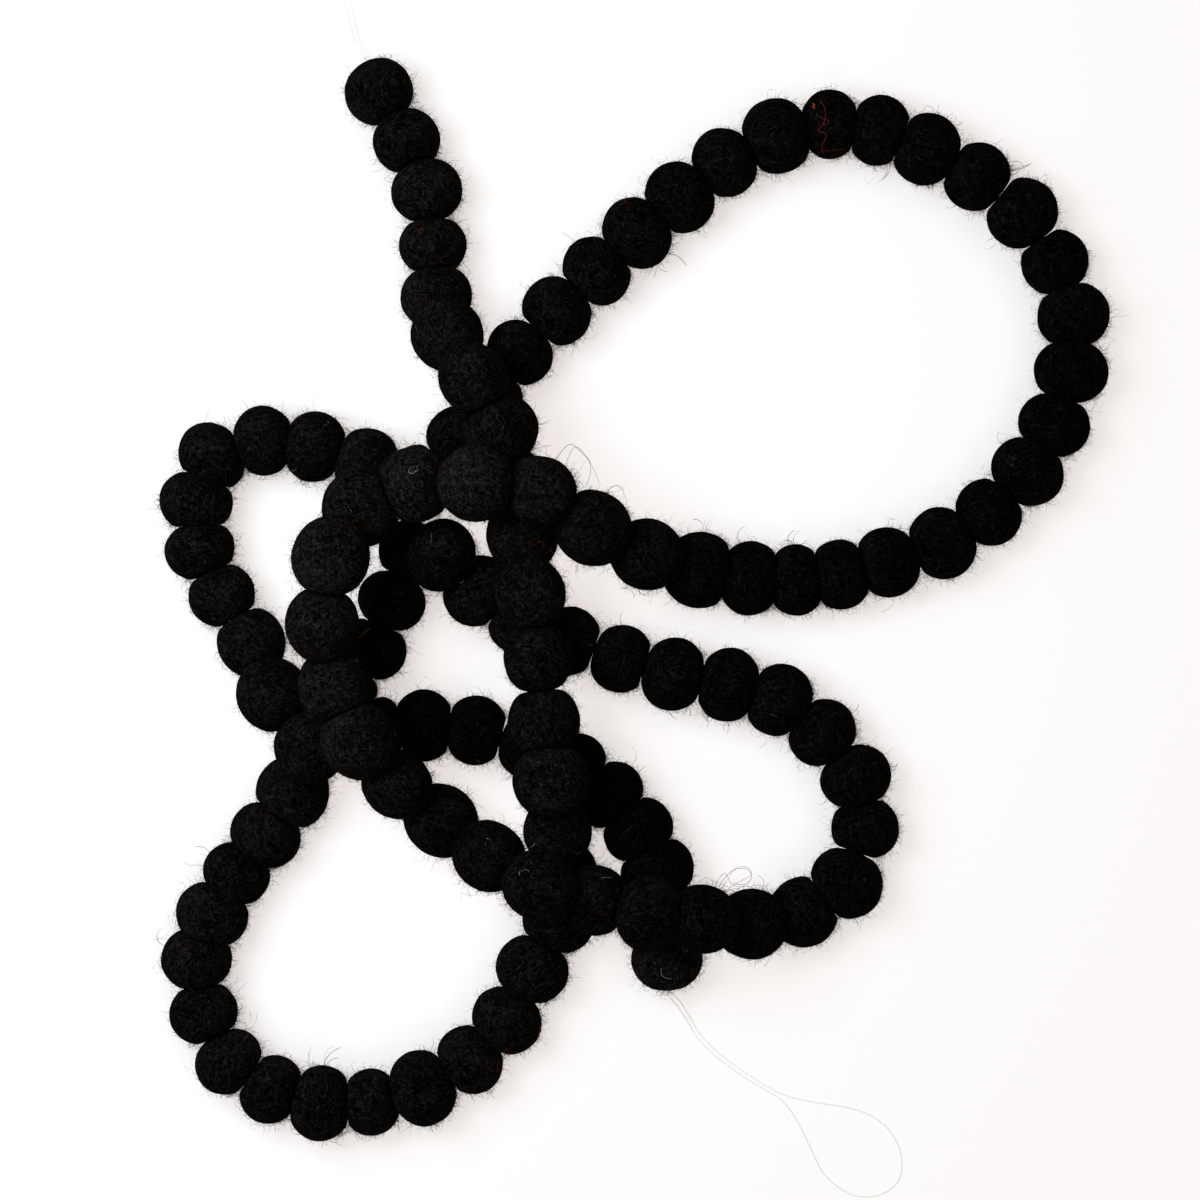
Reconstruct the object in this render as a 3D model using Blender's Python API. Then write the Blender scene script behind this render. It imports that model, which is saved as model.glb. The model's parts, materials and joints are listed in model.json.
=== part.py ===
"""Felt ball garland: one long string of wool-felt balls, lying in loose loops that cross each other.

Run it with blender --background --python part.py, or from Blender's text editor.
Metres, +Z up. The garland rests on the plane z = 0, and the middle of the balls' box is at x = y = 0.
The balls are threaded tight on a doubled cotton thread. Past the last ball the thread's fold shows as a
long loop, and past the first ball its two free ends lie side by side.
"""

import math
import random

import bpy
import numpy as np

MM = 0.001

# ---- Balls -------------------------------------------------------------------------------------
BALL_RADIUS = 11.2 * MM  # across the string
BALL_HALF_LENGTH = 10.0 * MM  # along the string, before the neighbours press it flat
SIZE_SPREAD = 0.06  # hand-rolled balls: a radius is up to this share larger or smaller
FULLNESS = 2.3  # exponent of a ball's profile: 2 is an ellipse, and more is fuller
REST_HEIGHT = 0.89  # height of a resting ball's centre in its own radii: wool sits a little flat
SEED = 7

# ---- How the balls lie on each other -------------------------------------------------------------
CROSSING_GAP = 0.7 * MM
LONGEST_PITCH = 20.5 * MM  # the tight thread lets two neighbours' centres no further apart
SHORTEST_PITCH = 13.0 * MM  # and felt lets them no nearer
LEAST_STEP = 4.0 * MM  # height that a neighbour may always differ by
SETTLE_ROUNDS = 200

# ---- Facets --------------------------------------------------------------------------------------
SIDES = 8
RIM_SCALE = 1.04  # a facet ring's corners lie outside the round ball, and its flats inside it
RING_PLACES = (-0.5, 0.0, 0.5)  # rings inside a ball, as shares of the way to each joint
END_RING_PLACES = (0.5, 0.8, 0.97)  # rings of a free end, as shares of the half length
SOLID_GAP = 0.3 * MM  # between two neighbouring solids
JOINT_MARGIN = 0.8 * MM  # between a ball's inner rings and the face that it shares with a neighbour

# ---- Route of the string, from the first ball to the last ------------------------------------------
# x, y: centre of the section's first ball, in mm
# layer: 0 lies on the surface, and a higher layer passes over a lower one where they cross
# lift: least height of the section's balls above where they would rest, in mm
# balls: how many balls the section holds, up to the next row's
ROUTE_COLUMNS = ("x", "y", "layer", "lift", "balls")
ROUTE = (
    (-80, 158, 0, 0, 2),
    (-65, 127, 0, 0, 2),
    (-62, 94, 0, 0, 1),
    (-58, 81, 2, 0, 2),
    (-41, 51, 2, 0, 1),
    (-38, 36, 1, 0, 2),
    (-32, 1, 2, 0, 2),
    (-28, -38, 2, 0, 2),
    (-24, -72, 1, 0, 2),
    (-24, -101, 0, 0, 1),
    (-32, -116, 0, 0, 1),
    (-40, -132, 0, 0, 4),
    (-98, -158, 0, 0, 2),
    (-127, -145, 0, 0, 2),
    (-137, -113, 0, 0, 1),
    (-132, -99, 0, 0, 3),
    (-107, -61, 0, 0, 1),
    (-100, -46, 1, 0, 1),
    (-112, -30, 1, 0, 1),
    (-120, -14, 0, 0, 2),
    (-136, 15, 0, 0, 1),
    (-137, 30, 0, 0, 1),
    (-132, 44, 0, 0, 1),
    (-116, 49, 0, 0, 2),
    (-84, 42, 0, 0, 1),
    (-67, 37, 0, 0, 1),
    (-54, 49, 0, 0, 1),
    (-46, 63, 0, 0, 3),
    (-12, 102, 0, 0, 2),
    (14, 125, 0, 0, 1),
    (28, 136, 0, 0, 2),
    (61, 148, 0, 0, 2),
    (91, 140, 0, 0, 2),
    (121, 120, 0, 0, 2),
    (137, 88, 0, 0, 2),
    (131, 54, 0, 0, 3),
    (96, 17, 0, 0, 1),
    (79, 11, 0, 0, 3),
    (36, 6, 0, 0, 3),
    (-13, 21, 1, 0, 1),
    (-29, 32, 3, 0, 1),
    (-48, 34, 3, 0, 1),
    (-67, 34, 3, 0, 1),
    (-83, 27, 3, 0, 1),
    (-91, 12, 3, 38, 1),
    (-94, -8, 3, 32, 1),
    (-91, -27, 3, 0, 2),
    (-73, -57, 2, 0, 3),
    (-29, -87, 3, 0, 2),
    (4, -96, 3, 0, 1),
    (20, -98, 3, 0, 1),
    (36, -101, 0, 0, 2),
    (66, -89, 0, 0, 1),
    (72, -72, 0, 0, 3),
    (45, -32, 0, 0, 2),
    (12, -24, 0, 0, 4),
    (-49, 2, 0, 0, 1),
    (-60, 13, 2, 0, 1),
    (-70, 14, 0, 0, 1),
    (-76, -1, 0, 0, 1),
    (-82, -16, 0, 0, 1),
    (-91, -29, 0, 0, 1),
    (-81, -42, 0, 0, 1),
    (-66, -40, 0, 0, 3),
    (-19, -53, 0, 0, 3),
    (7, -85, 0, 0, 2),
    (10, -113, 0, 0, 1),
)


def smooth_curve(knots, points, at):
    """Points of one smooth curve that passes through each given point at its knot."""
    points = np.asarray(points, float)
    slopes = np.diff(points, axis=0) / np.diff(knots)[:, None]
    spans = np.diff(knots)[:, None]
    tangents = np.empty_like(points)
    tangents[1:-1] = (slopes[:-1] * spans[1:] + slopes[1:] * spans[:-1]) / (spans[1:] + spans[:-1])
    tangents[0] = 1.5 * slopes[0] - 0.5 * tangents[1]
    tangents[-1] = 1.5 * slopes[-1] - 0.5 * tangents[-2]
    at = np.asarray(at, float)
    left = np.clip(np.searchsorted(knots, at, side="right") - 1, 0, len(knots) - 2)
    span = (knots[left + 1] - knots[left])[:, None]
    t = (at[:, None] - knots[left][:, None]) / span
    from_left = (1 + 2 * t) * (1 - t) ** 2 * points[left] + t * (1 - t) ** 2 * span * tangents[left]
    from_right = t * t * (3 - 2 * t) * points[left + 1] - t * t * (1 - t) * span * tangents[left + 1]
    return from_left + from_right


def crossings(places, radii, layers):
    """Pairs of balls that would meet if they lay at one height: (lower, upper, rise of the upper)."""
    found = []
    for one in range(len(places)):
        for other in range(one + 1, len(places)):
            apart = math.dist(places[one], places[other])
            neighbours = other == one + 1
            need = SHORTEST_PITCH if neighbours else radii[one] + radii[other] + CROSSING_GAP
            if apart >= need:
                continue
            lower, upper = (other, one) if layers[one] > layers[other] else (one, other)
            found.append((lower, upper, math.sqrt(need**2 - apart**2)))
    return found


def settle(places, radii, layers, lifts):
    """Lowest height of each centre at which balls clear those beneath and the string stays whole."""
    pairs = crossings(places, radii, layers)
    steps = np.linalg.norm(np.diff(places, axis=0), axis=1)
    steepest = np.sqrt(np.maximum(LONGEST_PITCH**2 - steps**2, LEAST_STEP**2))
    heights = radii * REST_HEIGHT + lifts
    for _ in range(SETTLE_ROUNDS):
        before = heights.copy()
        for lower, upper, rise in pairs:
            heights[upper] = max(heights[upper], heights[lower] + rise)
        heights[1:] = np.maximum(heights[1:], heights[:-1] - steepest)
        heights[:-1] = np.maximum(heights[:-1], heights[1:] - steepest)
        if np.allclose(before, heights, atol=1e-7):
            break
    return heights


def lay_out_balls():
    """Centres and radii of all the balls, in string order."""
    route = dict(zip(ROUTE_COLUMNS, np.array(ROUTE, float).T))
    counts = route["balls"].astype(int)
    first_balls = (np.cumsum(counts) - counts).astype(float)
    total = counts.sum()
    chance = random.Random(SEED)
    radii = BALL_RADIUS * np.array([1 + SIZE_SPREAD * chance.uniform(-1, 1) for _ in range(total)])
    corners = np.column_stack([route["x"], route["y"]]) * MM
    places = smooth_curve(first_balls, corners, np.arange(total))
    layers = np.repeat(route["layer"], counts)
    lifts = np.repeat(route["lift"], counts) * MM
    heights = settle(places, radii, layers, lifts)
    return np.column_stack([places, heights]), radii


def unit(vector):
    return vector / np.linalg.norm(vector)


def profile(along, radius, half_length):
    """A ball's radius at a distance from its centre along the string."""
    share = min(abs(along) / half_length, 1.0)
    return radius * (1 - share**FULLNESS) ** (1 / FULLNESS)


def ring(centre, normal, radius):
    """Corners of one facet ring round the string, with a flat side below, kept off the surface."""
    side = unit(np.cross(normal, (0.0, 0.0, 1.0)))
    up = np.cross(side, normal)
    turns = math.tau * (np.arange(SIDES)[:, None] + 0.5) / SIDES
    corners = centre + RIM_SCALE * radius * (np.cos(turns) * side + np.sin(turns) * up)
    corners[:, 2] = np.maximum(corners[:, 2], 0.0)
    return corners


class Ball:
    """One ball of the string: where it meets its neighbours, and its facet rings."""

    def __init__(self, number, centres, radii):
        self.centre = centres[number]
        self.radius = radii[number]
        self.half_length = BALL_HALF_LENGTH * self.radius / BALL_RADIUS
        last = len(centres) - 1
        self.before = self.joint(centres, radii, number, number - 1) if number > 0 else None
        self.after = self.joint(centres, radii, number, number + 1) if number < last else None
        ahead = self.after[0] if self.after else -self.before[0]
        behind = -self.before[0] if self.before else ahead
        self.axis = unit(ahead + behind)

    @staticmethod
    def joint(centres, radii, number, other):
        """Direction to a neighbour, distance to the face between the two, and that face's radius."""
        step = centres[other] - centres[number]
        apart = np.linalg.norm(step)
        reach = apart * radii[number] / (radii[number] + radii[other])
        radius = min(
            profile(part, radii[which], max(BALL_HALF_LENGTH * radii[which] / BALL_RADIUS, 1.14 * part))
            for part, which in ((reach, number), (apart - reach, other))
        )
        return step / apart, reach, radius

    def free_end(self, way):
        """Rings of a rounded free end, from the middle outwards; way is +1 forwards, -1 backwards."""
        for share in END_RING_PLACES:
            along = share * self.half_length
            radius = profile(along, self.radius, self.half_length)
            yield ring(self.centre + way * along * self.axis, self.axis, radius)

    def inner_rings(self):
        """Rings between the ball's two joints, in string order."""
        for share in RING_PLACES:
            side = self.before if share < 0 else self.after
            if side is None:
                continue
            forward = -side[0] if share < 0 else side[0]
            length = max(self.half_length, 1.14 * side[1])
            radius = profile(share * side[1], self.radius, length)
            normal = unit(self.axis + abs(share) * forward)
            corners = ring(self.centre + share * side[1] * self.axis, normal, radius)
            yield self.short_of_joints(corners)

    def short_of_joints(self, corners):
        """The corners, with any that passes the face to a neighbour drawn back before it."""
        for direction, reach, _ in filter(None, (self.before, self.after)):
            past = (corners - self.centre) @ direction - (reach - JOINT_MARGIN)
            corners = corners - np.maximum(past, 0.0)[:, None] * direction
        return corners

    def joint_ring(self, side, gap):
        """The ring at a joint, drawn back from it by gap."""
        direction, reach, radius = side
        forward = -direction if side is self.before else direction
        return ring(self.centre + (reach - gap) * direction, forward, radius)


def run_rings(numbers, centres, radii):
    """All the facet rings of a run of balls, in string order."""
    rings = []
    for number in numbers:
        ball = Ball(number, centres, radii)
        if ball.before is None:
            rings += reversed(list(ball.free_end(-1)))
        elif number == numbers[0]:
            rings.append(ball.joint_ring(ball.before, SOLID_GAP / 2))
        if ball.after is None:
            rings += list(ball.inner_rings())
            rings.append(ring(ball.centre, ball.axis, ball.radius))
            rings += ball.free_end(1)
            continue
        rings += ball.inner_rings()
        gap = SOLID_GAP / 2 if number == numbers[-1] else 0.0
        rings.append(ball.joint_ring(ball.after, gap))
    return rings


def closed_tube(name, rings):
    """A mesh object whose surface joins the rings in order, closed by a flat face at each end."""
    corners = np.concatenate(rings)
    faces = [tuple(range(SIDES))]
    for first in range(0, SIDES * (len(rings) - 1), SIDES):
        for k in range(SIDES):
            after = (k + 1) % SIDES
            faces.append((first + k, first + SIDES + k, first + SIDES + after, first + after))
    end = SIDES * (len(rings) - 1)
    faces.append(tuple(range(end + SIDES - 1, end - 1, -1)))
    mesh = bpy.data.meshes.new(name)
    mesh.from_pydata(corners, [], faces)
    mesh.validate()
    mesh.shade_smooth()
    mesh.set_sharp_from_angle(angle=math.radians(50))
    item = bpy.data.objects.new(name, mesh)
    bpy.context.scene.collection.objects.link(item)
    return item


# ---- Thread ----------------------------------------------------------------------------------------
THREAD_RADIUS = 0.25 * MM
THREAD_POINT_STEP = 4.0 * MM  # between two points of a thread's tube
ROUTE_SAMPLES = 40  # finer steps between two route points, to measure the curve's length
BARE_COLOUR = (0.86, 0.80, 0.68)

# Routes of the thread that shows, from the end ball's face outwards: x, y and height in mm
THREAD_ROUTES = {
    # The fold of the doubled thread: out from the last ball, round the loop and back to it
    "thread_loop": (
        (10.9, -123.1, 9.6),
        (12.6, -124.8, 8.4),
        (14.9, -128, 4.6),
        (17.6, -133, 1.0),
        (21, -138.6, 0.3),
        (27, -144.4, 0.3),
        (36, -151, 0.3),
        (46.5, -157, 0.3),
        (56, -159.4, 0.3),
        (66, -161, 0.3),
        (74, -163.5, 0.3),
        (80, -168, 0.3),
        (84, -175.5, 0.3),
        (83.5, -184, 0.3),
        (77, -189, 0.3),
        (68, -188.5, 0.3),
        (60, -182.5, 0.3),
        (55.5, -174, 0.3),
        (51, -165, 0.3),
        (45.6, -158.4, 0.3),
        (35.4, -152.2, 0.3),
        (26.2, -145.5, 0.3),
        (20.1, -139.6, 0.3),
        (16.6, -133.9, 1.0),
        (13.7, -128.9, 4.6),
        (11.3, -125.7, 8.4),
        (9.7, -123.1, 9.6),
    ),
    # The thread's two free ends, past the first ball
    "thread_end_left": (
        (-85.3, 166.5, 9.7),
        (-86.5, 168.7, 8.4),
        (-87.8, 172.6, 3.8),
        (-89.3, 178, 0.8),
        (-91, 185, 0.3),
        (-93.1, 194.5, 0.3),
        (-95, 204, 0.3),
    ),
    "thread_end_right": (
        (-84.1, 167.1, 9.7),
        (-85.2, 169.4, 8.4),
        (-86.4, 173.2, 3.8),
        (-87.8, 178.6, 0.8),
        (-89.4, 185.5, 0.3),
        (-91.2, 195, 0.3),
        (-92.4, 205, 0.3),
    ),
}


def thread_points(route):
    """Evenly spaced points of the smooth curve through a thread's route."""
    knots = np.arange(len(route), dtype=float)
    fine = smooth_curve(knots, route, np.linspace(0, knots[-1], ROUTE_SAMPLES * len(route))) * MM
    lengths = np.concatenate([[0], np.cumsum(np.linalg.norm(np.diff(fine, axis=0), axis=1))])
    count = max(2, round(lengths[-1] / THREAD_POINT_STEP) + 1)
    stations = np.linspace(0, lengths[-1], count)
    return np.column_stack([np.interp(stations, lengths, fine[:, axis]) for axis in range(3)])


def thread(name, route):
    """A round thread along its route, as a curve with filled ends."""
    curve = bpy.data.curves.new(name, "CURVE")
    curve.dimensions = "3D"
    curve.bevel_depth = THREAD_RADIUS
    curve.bevel_resolution = 2
    curve.use_fill_caps = True
    points = thread_points(route)
    spline = curve.splines.new("POLY")
    spline.points.add(len(points) - 1)
    for point, place in zip(spline.points, points):
        point.co = (*place, 1.0)
    item = bpy.data.objects.new(name, curve)
    bpy.context.scene.collection.objects.link(item)
    return item


def material(name, colour, roughness):
    """A plain, non-metallic finish."""
    finish = bpy.data.materials.new(name)
    finish.use_nodes = True
    shader = finish.node_tree.nodes["Principled BSDF"]
    shader.inputs["Base Color"].default_value = (*colour, 1.0)
    shader.inputs["Roughness"].default_value = roughness
    shader.inputs["Metallic"].default_value = 0.0
    return finish


# ---- Making the garland ------------------------------------------------------------------------------
BALLS_PER_RUN = 3
FELT_COLOUR = (0.012, 0.012, 0.012)
FELT_SHADES = (0.8, 1.3)  # darkest and lightest wool, as shares of the colour


def make_garland():
    garland = bpy.data.objects.new("garland", None)
    bpy.context.scene.collection.objects.link(garland)
    centres, radii = lay_out_balls()
    chance = random.Random(SEED)
    for run, first in enumerate(range(0, len(centres), BALLS_PER_RUN), start=1):
        numbers = range(first, min(first + BALLS_PER_RUN, len(centres)))
        item = closed_tube(f"ball_run_{run:02d}", run_rings(numbers, centres, radii))
        shade = chance.uniform(*FELT_SHADES)
        colour = tuple(shade * part for part in FELT_COLOUR)
        item.data.materials.append(material(f"felt_{run:02d}", colour, 0.95))
        item.parent = garland
    for name, route in THREAD_ROUTES.items():
        item = thread(name, route)
        item.data.materials.append(material(name, BARE_COLOUR, 0.8))
        item.parent = garland


for leftover in list(bpy.data.objects):
    bpy.data.objects.remove(leftover, do_unlink=True)
make_garland()
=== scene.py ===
"""Felt ball garland: 113 near-black wool-felt balls on a doubled cotton thread, lying in loose loops.

The balls' places come from the same route and the same rules as the frame's solids, with the same seed.
Each run of balls replaces its plain solid, and a piece of loose wool fibres goes with it. A twisted thread
replaces each plain tube of the thread that shows.
"""

import json
import math
import random

import bpy
import numpy as np
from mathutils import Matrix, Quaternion, Vector, noise

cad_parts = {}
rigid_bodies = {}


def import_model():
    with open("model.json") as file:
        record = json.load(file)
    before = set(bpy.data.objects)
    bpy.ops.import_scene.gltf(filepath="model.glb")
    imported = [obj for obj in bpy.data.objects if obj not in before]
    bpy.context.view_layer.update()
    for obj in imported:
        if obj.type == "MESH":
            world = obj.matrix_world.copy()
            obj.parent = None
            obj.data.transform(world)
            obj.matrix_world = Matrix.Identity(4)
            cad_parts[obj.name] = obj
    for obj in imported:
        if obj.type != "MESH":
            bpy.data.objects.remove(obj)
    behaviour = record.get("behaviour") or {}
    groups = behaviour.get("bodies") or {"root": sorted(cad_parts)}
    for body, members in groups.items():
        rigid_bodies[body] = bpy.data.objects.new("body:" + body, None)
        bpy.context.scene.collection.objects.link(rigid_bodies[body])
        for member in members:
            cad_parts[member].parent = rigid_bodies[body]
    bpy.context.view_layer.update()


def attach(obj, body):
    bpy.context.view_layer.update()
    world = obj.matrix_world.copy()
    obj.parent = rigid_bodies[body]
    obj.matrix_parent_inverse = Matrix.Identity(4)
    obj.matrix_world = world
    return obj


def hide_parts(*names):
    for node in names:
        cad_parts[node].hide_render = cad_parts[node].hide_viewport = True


for leftover in list(bpy.data.objects):
    bpy.data.objects.remove(leftover, do_unlink=True)

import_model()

MM = 0.001

# ---- Camera --------------------------------------------------------------------------------------
CAMERA_PLACE = (-10.9 * MM, -0.8 * MM, 800 * MM)
SENSOR_WIDTH = 36.0
VIEW_WIDTH = 375 * MM  # width in view at the height of the lowest balls' middles
VIEW_HEIGHT = 10 * MM


def add_camera():
    """A camera straight above the garland, with +Y at the top of its view."""
    data = bpy.data.cameras.new("camera")
    data.sensor_width = SENSOR_WIDTH
    data.lens = SENSOR_WIDTH * (CAMERA_PLACE[2] - VIEW_HEIGHT) / VIEW_WIDTH
    data.clip_start = 0.01
    data.clip_end = 50
    camera = bpy.data.objects.new("camera", data)
    camera.location = CAMERA_PLACE
    bpy.context.scene.collection.objects.link(camera)
    bpy.context.scene.camera = camera


add_camera()

# ---- The frame's rules for the string of balls, repeated -----------------------------------------
BALL_RADIUS = 11.2 * MM
BALL_HALF_LENGTH = 10.0 * MM
SIZE_SPREAD = 0.06
REST_HEIGHT = 0.89
SEED = 7
CROSSING_GAP = 0.7 * MM
LONGEST_PITCH = 20.5 * MM
SHORTEST_PITCH = 13.0 * MM
LEAST_STEP = 4.0 * MM
SETTLE_ROUNDS = 200
BALLS_PER_RUN = 3

# ---- Route of the string, from the first ball to the last ----------------------------------------
# x, y: centre of the section's first ball, in mm
# layer: 0 lies on the surface, and a higher layer passes over a lower one where they cross
# lift: least height of the section's balls above where they would rest, in mm
# balls: how many balls the section holds, up to the next row's
ROUTE_COLUMNS = ("x", "y", "layer", "lift", "balls")
ROUTE = (
    (-80, 158, 0, 0, 2),
    (-65, 127, 0, 0, 2),
    (-62, 94, 0, 0, 1),
    (-58, 81, 2, 0, 2),
    (-41, 51, 2, 0, 1),
    (-38, 36, 1, 0, 2),
    (-32, 1, 2, 0, 2),
    (-28, -38, 2, 0, 2),
    (-24, -72, 1, 0, 2),
    (-24, -101, 0, 0, 1),
    (-32, -116, 0, 0, 1),
    (-40, -132, 0, 0, 4),
    (-98, -158, 0, 0, 2),
    (-127, -145, 0, 0, 2),
    (-137, -113, 0, 0, 1),
    (-132, -99, 0, 0, 3),
    (-107, -61, 0, 0, 1),
    (-100, -46, 1, 0, 1),
    (-112, -30, 1, 0, 1),
    (-120, -14, 0, 0, 2),
    (-136, 15, 0, 0, 1),
    (-137, 30, 0, 0, 1),
    (-132, 44, 0, 0, 1),
    (-116, 49, 0, 0, 2),
    (-84, 42, 0, 0, 1),
    (-67, 37, 0, 0, 1),
    (-54, 49, 0, 0, 1),
    (-46, 63, 0, 0, 3),
    (-12, 102, 0, 0, 2),
    (14, 125, 0, 0, 1),
    (28, 136, 0, 0, 2),
    (61, 148, 0, 0, 2),
    (91, 140, 0, 0, 2),
    (121, 120, 0, 0, 2),
    (137, 88, 0, 0, 2),
    (131, 54, 0, 0, 3),
    (96, 17, 0, 0, 1),
    (79, 11, 0, 0, 3),
    (36, 6, 0, 0, 3),
    (-13, 21, 1, 0, 1),
    (-29, 32, 3, 0, 1),
    (-48, 34, 3, 0, 1),
    (-67, 34, 3, 0, 1),
    (-83, 27, 3, 0, 1),
    (-91, 12, 3, 38, 1),
    (-94, -8, 3, 32, 1),
    (-91, -27, 3, 0, 2),
    (-73, -57, 2, 0, 3),
    (-29, -87, 3, 0, 2),
    (4, -96, 3, 0, 1),
    (20, -98, 3, 0, 1),
    (36, -101, 0, 0, 2),
    (66, -89, 0, 0, 1),
    (72, -72, 0, 0, 3),
    (45, -32, 0, 0, 2),
    (12, -24, 0, 0, 4),
    (-49, 2, 0, 0, 1),
    (-60, 13, 2, 0, 1),
    (-70, 14, 0, 0, 1),
    (-76, -1, 0, 0, 1),
    (-82, -16, 0, 0, 1),
    (-91, -29, 0, 0, 1),
    (-81, -42, 0, 0, 1),
    (-66, -40, 0, 0, 3),
    (-19, -53, 0, 0, 3),
    (7, -85, 0, 0, 2),
    (10, -113, 0, 0, 1),
)


def smooth_curve(knots, points, at):
    """Points of one smooth curve that passes through each given point at its knot."""
    points = np.asarray(points, float)
    slopes = np.diff(points, axis=0) / np.diff(knots)[:, None]
    spans = np.diff(knots)[:, None]
    tangents = np.empty_like(points)
    tangents[1:-1] = (slopes[:-1] * spans[1:] + slopes[1:] * spans[:-1]) / (spans[1:] + spans[:-1])
    tangents[0] = 1.5 * slopes[0] - 0.5 * tangents[1]
    tangents[-1] = 1.5 * slopes[-1] - 0.5 * tangents[-2]
    at = np.asarray(at, float)
    left = np.clip(np.searchsorted(knots, at, side="right") - 1, 0, len(knots) - 2)
    span = (knots[left + 1] - knots[left])[:, None]
    t = (at[:, None] - knots[left][:, None]) / span
    from_left = (1 + 2 * t) * (1 - t) ** 2 * points[left] + t * (1 - t) ** 2 * span * tangents[left]
    from_right = t * t * (3 - 2 * t) * points[left + 1] - t * t * (1 - t) * span * tangents[left + 1]
    return from_left + from_right


def crossings(places, radii, layers):
    """Pairs of balls that would meet if they lay at one height: (lower, upper, rise of the upper)."""
    found = []
    for one in range(len(places)):
        for other in range(one + 1, len(places)):
            apart = math.dist(places[one], places[other])
            neighbours = other == one + 1
            need = SHORTEST_PITCH if neighbours else radii[one] + radii[other] + CROSSING_GAP
            if apart >= need:
                continue
            lower, upper = (other, one) if layers[one] > layers[other] else (one, other)
            found.append((lower, upper, math.sqrt(need**2 - apart**2)))
    return found


def settle(places, radii, layers, lifts):
    """Lowest height of each centre at which balls clear those beneath and the string stays whole."""
    pairs = crossings(places, radii, layers)
    steps = np.linalg.norm(np.diff(places, axis=0), axis=1)
    steepest = np.sqrt(np.maximum(LONGEST_PITCH**2 - steps**2, LEAST_STEP**2))
    heights = radii * REST_HEIGHT + lifts
    for _ in range(SETTLE_ROUNDS):
        before = heights.copy()
        for lower, upper, rise in pairs:
            heights[upper] = max(heights[upper], heights[lower] + rise)
        heights[1:] = np.maximum(heights[1:], heights[:-1] - steepest)
        heights[:-1] = np.maximum(heights[:-1], heights[1:] - steepest)
        if np.allclose(before, heights, atol=1e-7):
            break
    return heights


def lay_out_balls():
    """Centres and radii of all the balls, in string order."""
    route = dict(zip(ROUTE_COLUMNS, np.array(ROUTE, float).T))
    counts = route["balls"].astype(int)
    first_balls = (np.cumsum(counts) - counts).astype(float)
    total = counts.sum()
    chance = random.Random(SEED)
    radii = BALL_RADIUS * np.array([1 + SIZE_SPREAD * chance.uniform(-1, 1) for _ in range(total)])
    corners = np.column_stack([route["x"], route["y"]]) * MM
    places = smooth_curve(first_balls, corners, np.arange(total))
    layers = np.repeat(route["layer"], counts)
    lifts = np.repeat(route["lift"], counts) * MM
    heights = settle(places, radii, layers, lifts)
    return np.column_stack([places, heights]), radii


# ---- Helpers -------------------------------------------------------------------------------------
def unit(vector):
    """A vector at length 1."""
    return vector / np.linalg.norm(vector)


def units(vectors):
    """Vectors at length 1, each along the last axis of an array."""
    return vectors / np.linalg.norm(vectors, axis=-1, keepdims=True)


def mesh_piece(name, points, faces):
    """A smooth-shaded mesh object."""
    mesh = bpy.data.meshes.new(name)
    mesh.from_pydata(points.tolist(), [], faces)
    mesh.shade_smooth()
    piece = bpy.data.objects.new(name, mesh)
    bpy.context.scene.collection.objects.link(piece)
    return piece


def runs(balls):
    """Each run of balls, with its number in the frame."""
    for run, first in enumerate(range(0, len(balls), BALLS_PER_RUN), start=1):
        yield run, balls[first : first + BALLS_PER_RUN]


def new_material(name):
    """A material with its node tree, its Principled shader and a function that adds a linked node."""
    material = bpy.data.materials.new(name)
    material.use_nodes = True
    tree = material.node_tree
    shader = tree.nodes["Principled BSDF"]

    def add(kind, values=(), **settings):
        node = tree.nodes.new(kind)
        for key, value in settings.items():
            setattr(node, key, value)
        for socket, value in dict(values).items():
            if isinstance(value, bpy.types.NodeSocket):
                tree.links.new(value, node.inputs[socket])
            else:
                node.inputs[socket].default_value = value
        return node

    return material, tree, shader, add


def attribute(add, name, output="Vector"):
    """The value of a mesh's attribute, for the nodes of a material."""
    return add("ShaderNodeAttribute", attribute_name=name, attribute_type="GEOMETRY").outputs[output]


# ---- Felt balls: form ----------------------------------------------------------------------------
AROUND = 36  # faces round a ball, about the string
ALONG = 25  # rows of faces from one pole to the other
LUMPS = ((7.0 * MM, 0.22 * MM), (2.6 * MM, 0.10 * MM))  # size of the swellings, and how far they rise
ROUNDNESS = 2.0  # exponent of a ball's section along the string: 2 is an ellipse
ROUND_SPREAD = 0.025  # a ball is up to this share wider one way than the other
EDGE_SOFTNESS = 0.45 * MM  # rounding where a ball is pressed flat
JOINT_GAP = 0.06 * MM  # between two pressed faces
FLOOR_GAP = 0.03 * MM
FLOOR_SOFTNESS = 0.15 * MM  # rounding where a ball rests on the surface
LUMP_SHIFT = 40  # how far each way a ball's lumps can be moved in their noise
JOINT_SEEDS = 1000  # from one joint's seed to the next one's
HOLE_RADIUS = 1.5 * MM  # of the dimple that the thread pulls in
HOLE_DEPTH = 1.3 * MM
END_HOLE = 1.7  # how much wider it is where the thread comes out of the string
FACE_REACH = 1.16  # a ball's free end would reach this share of the way to the face it shares
FACE_BULGES = (0.4 * MM, 1.0 * MM)  # how far one ball of a pair is pushed into the other
FACE_RADIUS = 7.0 * MM  # of the pressed face


def soft_limit(value, limit, softness):
    """The value, kept under the limit with a rounded corner."""
    return limit - softness * np.logaddexp(0.0, (limit - value) / softness)


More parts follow.
